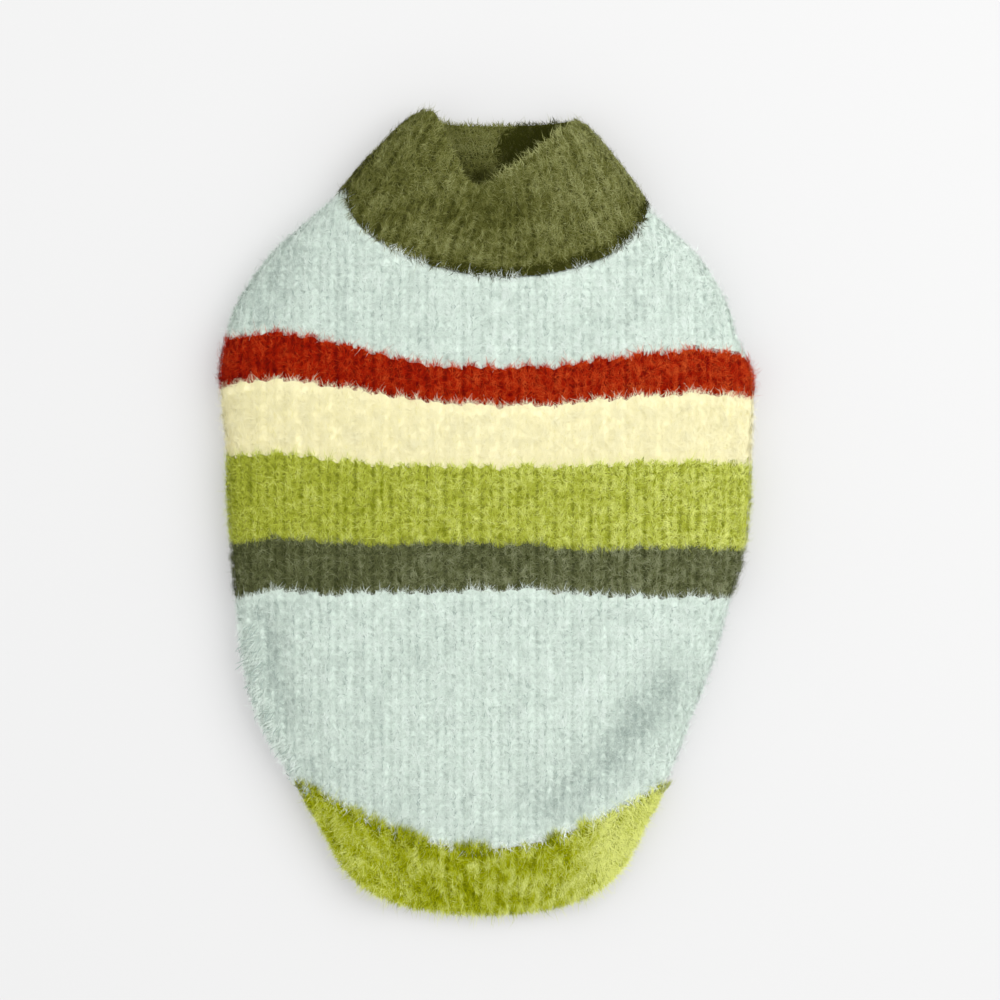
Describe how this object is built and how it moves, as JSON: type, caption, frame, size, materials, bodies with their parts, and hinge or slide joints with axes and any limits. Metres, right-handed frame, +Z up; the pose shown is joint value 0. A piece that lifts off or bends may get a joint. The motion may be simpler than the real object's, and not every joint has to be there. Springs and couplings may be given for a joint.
{
  "type": "knitted dog sweater",
  "caption": "Sleeveless ribbed plush-knit dog sweater with a roll-neck collar, striped body, rounded tail hem and leg openings, laid flat.",
  "frame": {"origin": "middle of the garment's plan on the surface it lies on", "axes": "+Y from the tail hem to the collar, +X across the garment, +Z up from the surface"},
  "size_m": [0.2018, 0.3032, 0.0272],
  "materials": {
    "body_knit": "soft plush knit, striped in red, cream, lime and dark green on a pale mint ground",
    "collar_knit": "soft plush knit, olive green",
    "hem_knit": "soft plush knit, lime green"
  },
  "bodies": {
    "root": {"back_panel": "body_knit", "belly_panel": "body_knit", "collar": "collar_knit", "hem_band": "hem_knit"}
  },
  "joints": []
}
